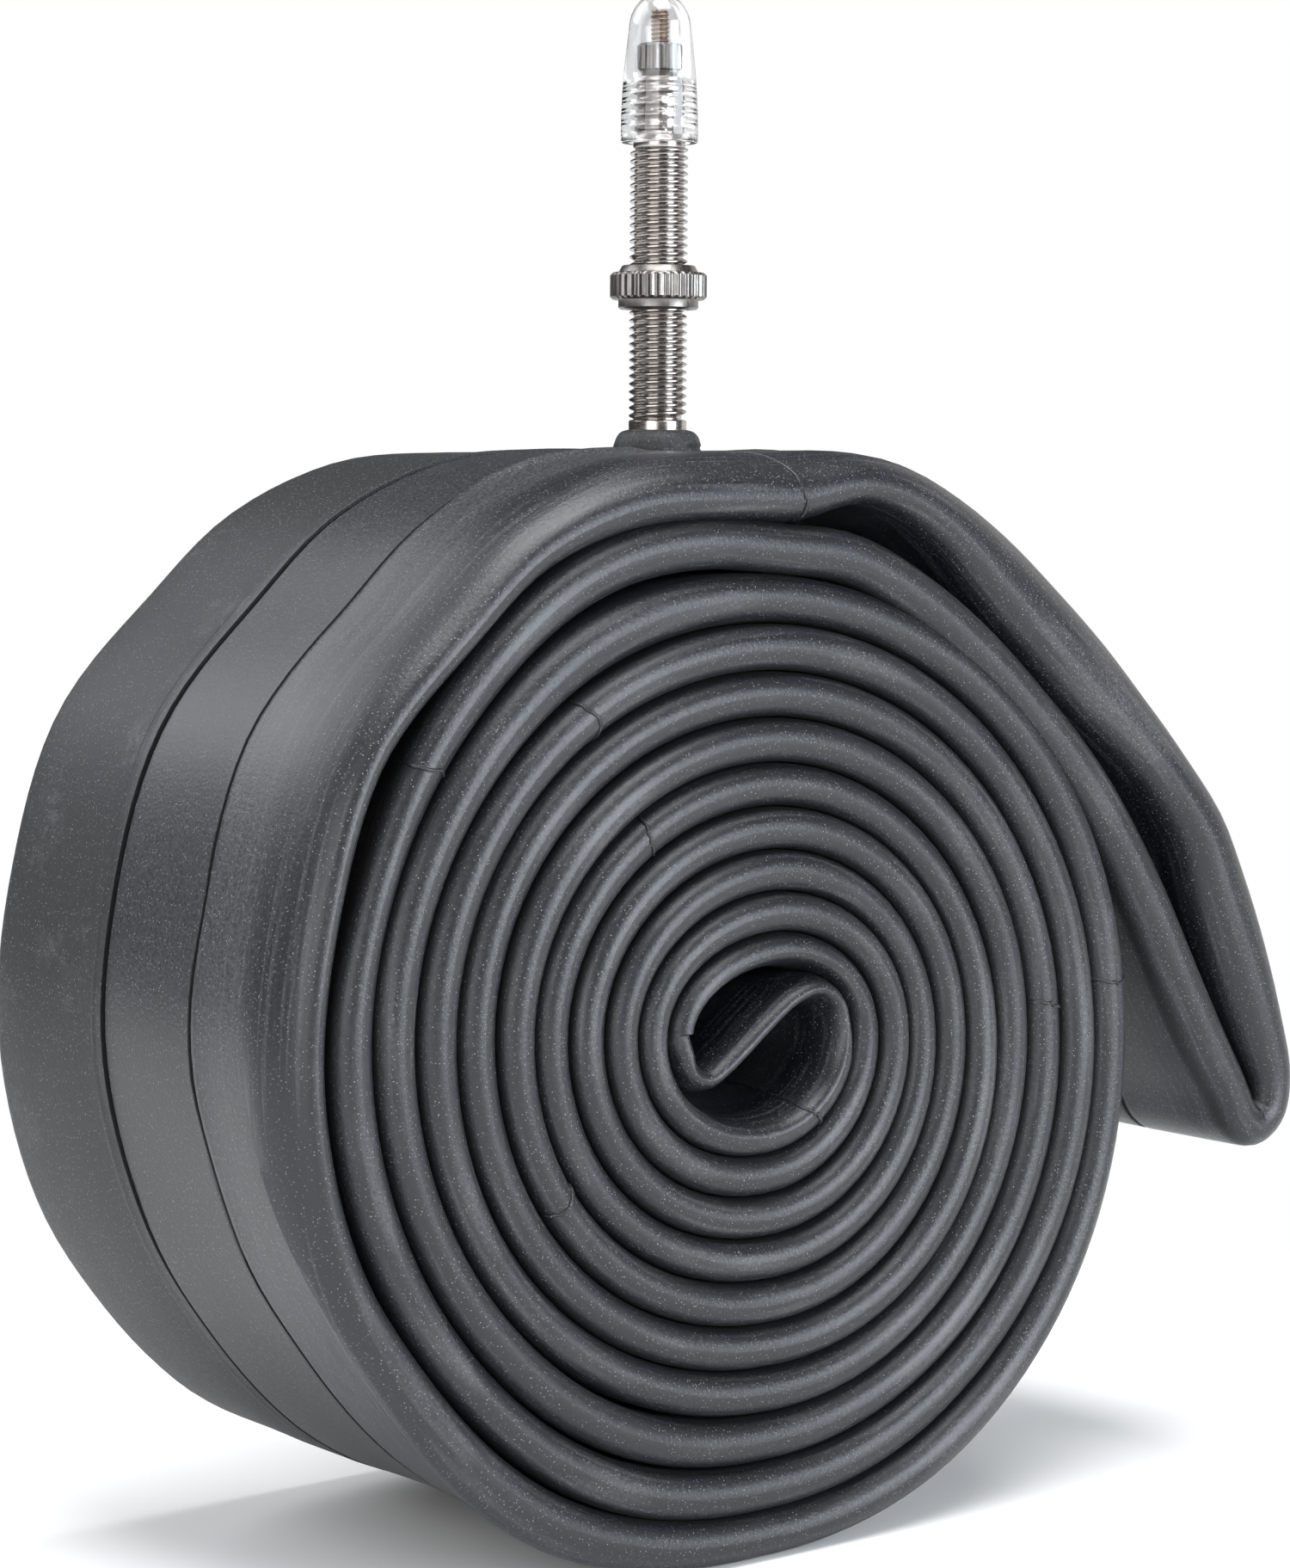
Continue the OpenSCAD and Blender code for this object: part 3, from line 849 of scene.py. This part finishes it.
brushed_nickel = plated(
    "brushed_nickel", (0.19, 0.18, 0.172), 0.27, (0.13, 0.12, 0.112), brushed=0.4
)
finish_piece(rim_nut, "knurled_rim_nut", "rim_nut", brushed_nickel, "nickel", "rim_nut", crease=34)

# ---- Valve core ----
# A body of nickel-plated brass that screws into the stem, with two flats for a spanner and a
# coarse thread for the dust cap. A nylon gasket seals its plug against the stem's bore.

core_low, core_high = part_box("core_body")
core_foot, core_top = core_low.z / MM, core_high.z / MM
pin_bore, shank_radius = 0.99, 1.45
core = threaded(2.6, 2.22, 1.05, stem_top + 0.35, core_top - 0.35, 1.6)
add_turned(
    core,
    [
        (pin_bore, core_foot),
        (1.4, core_foot),
        (shank_radius, core_foot + 0.1),
        (shank_radius, stem_top - 3.5),
        (1.8, stem_top - 3.5),
        (1.9, stem_top - 3.4),
        (1.9, stem_top),
        (2.4, stem_top),
        (2.55, stem_top + 0.15),
        (2.55, stem_top + 0.35),
        (2.25, stem_top + 0.6),
        (2.25, core_top - 0.6),
        (2.5, core_top - 0.4),
        (2.5, core_top - 0.15),
        (2.35, core_top),
        (1.1, core_top),
        (pin_bore, core_top - 0.15),
    ],
    closed=True,
)
flat_half, flats_height = 2.15, 3.2
for v in core.verts:
    beside_flats = stem_top + 0.01 < v.co.z / MM < stem_top + flats_height
    if beside_flats and abs(v.co.y) > flat_half * MM:
        v.co.y = math.copysign(flat_half * MM, v.co.y)
finish_piece(core, "core_body_threaded", "valve_core", nickel, "nickel", "core_body", crease=38)

nylon, tree, shader = new_finish("gasket_nylon", (0.72, 0.7, 0.62), 0.4)
place = add(tree, "TexCoord", output=3)
tone = blend_colour(tree, blotch(tree, place, 1500.0, 3.0), (0.66, 0.64, 0.56), (0.8, 0.78, 0.7))
tree.links.new(tone, shader.inputs["Base Color"])
roughen(tree, shader, blotch(tree, place, 6000.0), 0.2, 0.00002)


def dress(node, material):
    """Gives a CAD node a finish in place of its plain one."""
    for material_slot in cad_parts[node].material_slots:
        material_slot.material = material


dress("core_gasket", nylon)

# ---- Pin ----
# A threaded pin of bare brass that slides in the core. Air pressure holds its rubber seal shut,
# and the brass cup riveted below keeps the seal on.

pin_low, pin_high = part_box("valve_pin")
pin_foot, pin_top = pin_low.z / MM, pin_high.z / MM
pin = threaded(0.93, 0.74, 0.44, core_top - 3.2, pin_top - 0.2, 0.5, steps=28)
add_turned(
    pin,
    [
        (0, pin_foot),
        (0.98, pin_foot),
        (0.7, pin_foot + 0.4),
        (0.6, pin_foot + 0.5),
        (0.6, core_foot),
        (0.9, core_foot + 0.05),
        (0.9, core_top - 3.3),
        (0.72, core_top - 3.1),
        (0.72, pin_top - 0.4),
        (0.86, pin_top - 0.22),
        (0.8, pin_top),
        (0, pin_top),
    ],
    segments=32,
)
brass = plated("bare_brass", (0.34, 0.265, 0.2), 0.26, (0.21, 0.155, 0.12))
finish_piece(pin, "threaded_pin", "pin", brass, "brass", "valve_pin", crease=38)
dress("seal_cup", brass)
seal_rubber, tree, shader = new_finish("seal_rubber", (0.025, 0.025, 0.027), 0.55)
place = add(tree, "TexCoord", output=3)
patches = blotch(tree, place, 2400.0, 3.0)
tone = blend_colour(tree, patches, (0.016, 0.016, 0.018), (0.045, 0.045, 0.048))
tree.links.new(tone, shader.inputs["Base Color"])
roughen(tree, shader, blotch(tree, place, 5000.0), 0.4, 0.00003)
dress("pin_seal", seal_rubber)

# ---- Lock nut ----
# A small fluted nut of nickel-plated brass on the pin's thread. It is screwed up to let air in,
# and its smooth nose meets the core when it is shut.

lock_low, lock_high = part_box("lock_nut")
lock_foot, lock_top, lock_radius = lock_low.z / MM, lock_high.z / MM, lock_high.x / MM
flutes = 18
lock = turned(
    [
        (pin_bore, lock_foot + 0.15),
        (1.15, lock_foot),
        (1.6, lock_foot),
        (1.75, lock_foot + 0.12),
        (1.85, lock_foot + 0.5),
        (1.9, lock_foot + 0.6),
        (2.0, lock_foot + 0.62),
        (lock_radius, lock_foot + 0.75),
        (lock_radius, lock_foot + 0.85),
        (lock_radius, lock_top - 0.4),
        (lock_radius, lock_top - 0.3),
        (2.0, lock_top - 0.06),
        (1.85, lock_top),
        (1.15, lock_top),
        (pin_bore, lock_top - 0.15),
    ],
    segments=flutes * 8,
    closed=True,
)
knurl(lock, lock_radius, lock_foot + 0.65, lock_top - 0.2, flutes, 0.24)
finish_piece(lock, "fluted_lock_nut", "lock_nut", brushed_nickel, "nickel", "lock_nut", crease=34)

# ---- Dust cap ----
# A thin clear cap, injection moulded in a stiff plastic. It screws on the core's thread with a
# few shallow ribs inside its mouth, and leaves a gap over the stem's neck.

cap_low, cap_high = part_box("dust_cap")
mouth, peak, mouth_radius = cap_low.z / MM, cap_high.z / MM, cap_high.x / MM
shoulder_radius, dome, cap_wall = 3.1, 3.6, 0.62
outer_side = [(mouth_radius - 0.12, mouth), (mouth_radius, mouth + 0.12)]
for share in (0.08, 0.25, 0.45, 0.65, 0.85, 1.0):
    bulge = 0.1 * math.sin(math.pi * share)
    r = mouth_radius + (shoulder_radius - mouth_radius) * share**1.5 + bulge
    outer_side.append((r, mouth + (peak - dome - mouth) * share))
for degrees in range(8, 91, 8):
    a = math.radians(degrees)
    outer_side.append((shoulder_radius * math.cos(a), peak - dome + dome * math.sin(a)))
outer_side.append((0, peak))
inner_side = [(0, peak - cap_wall)]
inner_radius = shoulder_radius - cap_wall
for degrees in range(82, -1, -10):
    a = math.radians(degrees)
    z = peak - dome + (dome - cap_wall) * math.sin(a)
    inner_side.append((inner_radius * math.cos(a), z))
inner_side += [(inner_radius + 0.03, mouth + 7.0), (inner_radius + 0.05, mouth + 6.1)]
thread_ridges, ridge_pitch = 5, 1.05
for ridge in range(thread_ridges):
    z = mouth + 5.7 - ridge * ridge_pitch
    inner_side += [(2.86, z), (2.86, z - 0.3), (2.74, z - 0.45), (2.74, z - 0.6), (2.86, z - 0.78)]
inner_side += [(2.88, mouth + 0.4), (3.15, mouth)]
cap = turned(outer_side + inner_side, segments=96, closed=True)

clear_cap, tree, shader = new_finish("clear_cap", (0.75, 0.755, 0.765), 0.04)
shader.inputs["Transmission Weight"].default_value = 1.0
shader.inputs["IOR"].default_value = 1.45
place = add(tree, "TexCoord", output=3)
haze = blotch(tree, place, 420.0, 4.0, 0.6)
hazy = between(tree, haze, 0.4, 0.8)
tone = blend_colour(tree, hazy, (0.8, 0.805, 0.81), (0.68, 0.685, 0.7))
tree.links.new(tone, shader.inputs["Base Color"])
tree.links.new(add(tree, "MapRange", haze, 0.3, 0.8, 0.03, 0.12), shader.inputs["Roughness"])
flow = tree.nodes.new("ShaderNodeMapping")
tree.links.new(place, flow.inputs[0])
flow.inputs["Scale"].default_value = (1.0, 1.0, 0.15)
roughen(tree, shader, blotch(tree, flow.outputs[0], 1300.0, 2.0), 0.25, 0.00005)
finish_piece(cap, "clear_dust_cap", "dust_cap", clear_cap, "clear_cap", "dust_cap", crease=45)

# ---- Floor, lights and camera ----
# A white paper floor that runs to a white background, and five soft boxes: one on each side of
# the camera, two behind the object and one above it.

scene = bpy.context.scene
ground = bmesh.new()
bmesh.ops.create_grid(ground, x_segments=1, y_segments=1, size=3.0)
ground_mesh = bpy.data.meshes.new("floor")
ground.to_mesh(ground_mesh)
ground.free()
floor = bpy.data.objects.new("floor", ground_mesh)
scene.collection.objects.link(floor)


def seen_ray(tree):
    """1 for what the camera sees, itself or through the clear cap, and 0 for the rest."""
    ray = tree.nodes.new("ShaderNodeLightPath")
    return maths(tree, "MAXIMUM", ray.outputs["Is Camera Ray"], ray.outputs["Is Transmission Ray"])


world = bpy.data.worlds.new("studio")
scene.world = world
world.use_nodes = True
tree = world.node_tree
backdrop = tree.nodes["Background"]
seen = seen_ray(tree)
tone = blend_colour(tree, seen, (0.07, 0.07, 0.072), (1.0, 1.0, 1.0))
tree.links.new(tone, backdrop.inputs["Color"])

paper, tree, shader = new_finish("paper", (0.9, 0.9, 0.9), 0.9)
seen = seen_ray(tree)
place = add(tree, "TexCoord", output=3)
away = tree.nodes.new("ShaderNodeVectorMath")
away.operation = "LENGTH"
tree.links.new(place, away.inputs[0])
# Within 6 cm of the middle the floor shows its shadow, and from 16 cm it is plain white.
white_out = maths(tree, "MULTIPLY", between(tree, away.outputs["Value"], 0.06, 0.16), seen)
glow = add(tree, "Emission", (1, 1, 1, 1), 1.0)
mixed = tree.nodes.new("ShaderNodeMixShader")
tree.links.new(white_out, mixed.inputs[0])
tree.links.new(shader.outputs[0], mixed.inputs[1])
tree.links.new(glow, mixed.inputs[2])
tree.links.new(mixed.outputs[0], tree.nodes["Material Output"].inputs["Surface"])
ground_mesh.materials.append(paper)

aim_height = 0.06


def soft_box(name, azimuth, elevation, distance, width, height, power, colour=(1, 1, 1)):
    """A rectangular lamp that looks at the object, azimuth 0 being in front and 90 at its right."""
    light = bpy.data.lights.new(name, "AREA")
    light.shape = "RECTANGLE"
    light.size, light.size_y = width, height
    light.energy = power
    light.color = colour
    lamp = bpy.data.objects.new(name, light)
    scene.collection.objects.link(lamp)
    a, e = math.radians(azimuth), math.radians(elevation)
    back = Vector((math.sin(a) * math.cos(e), -math.cos(a) * math.cos(e), math.sin(e)))
    lamp.location = back * distance + Vector((0, 0, aim_height))
    lamp.rotation_euler = back.to_track_quat("Z", "Y").to_euler()


soft_box("right_box", 20, 12, 0.9, 0.5, 0.5, 10.0, (0.86, 0.93, 1.0))
soft_box("left_box", -62, 12, 0.95, 0.72, 0.6, 5.2)
soft_box("rear_left_box", -140, 38, 1.0, 1.0, 0.7, 7.5, (0.95, 0.97, 1.0))
soft_box("rear_right_box", 100, 15, 1.0, 1.0, 0.7, 2.2, (1.0, 0.97, 0.94))
soft_box("top_box", -10, 80, 0.9, 0.65, 0.65, 12.0)

# The camera looks from the front left and a little from above, and is tilted by a third of a
# degree. Its aim is moved sideways and up from a point in the middle of the roll.
azimuth, elevation, lean = math.radians(-39), math.radians(4.5), math.radians(0.35)
level = math.cos(elevation)
back = Vector((math.sin(azimuth) * level, -math.cos(azimuth) * level, math.sin(elevation)))
side = Vector((0, 0, 1)).cross(back).normalized()
up = back.cross(side)
side, up = (
    side * math.cos(lean) + up * math.sin(lean),
    up * math.cos(lean) - side * math.sin(lean),
)
aim = Vector((0, 0, 0.051)) + side * -0.0009 + up * 0.0222
camera_distance = 0.403
lens = bpy.data.cameras.new("camera")
lens.sensor_fit = "VERTICAL"
lens.sensor_height = 36
lens.lens = 91.1947
camera = bpy.data.objects.new("camera", lens)
scene.collection.objects.link(camera)
facing = Matrix((side, up, back)).transposed().to_4x4()
camera.matrix_world = Matrix.Translation(aim + back * camera_distance) @ facing
scene.camera = camera
scene.view_settings.view_transform = "Standard"
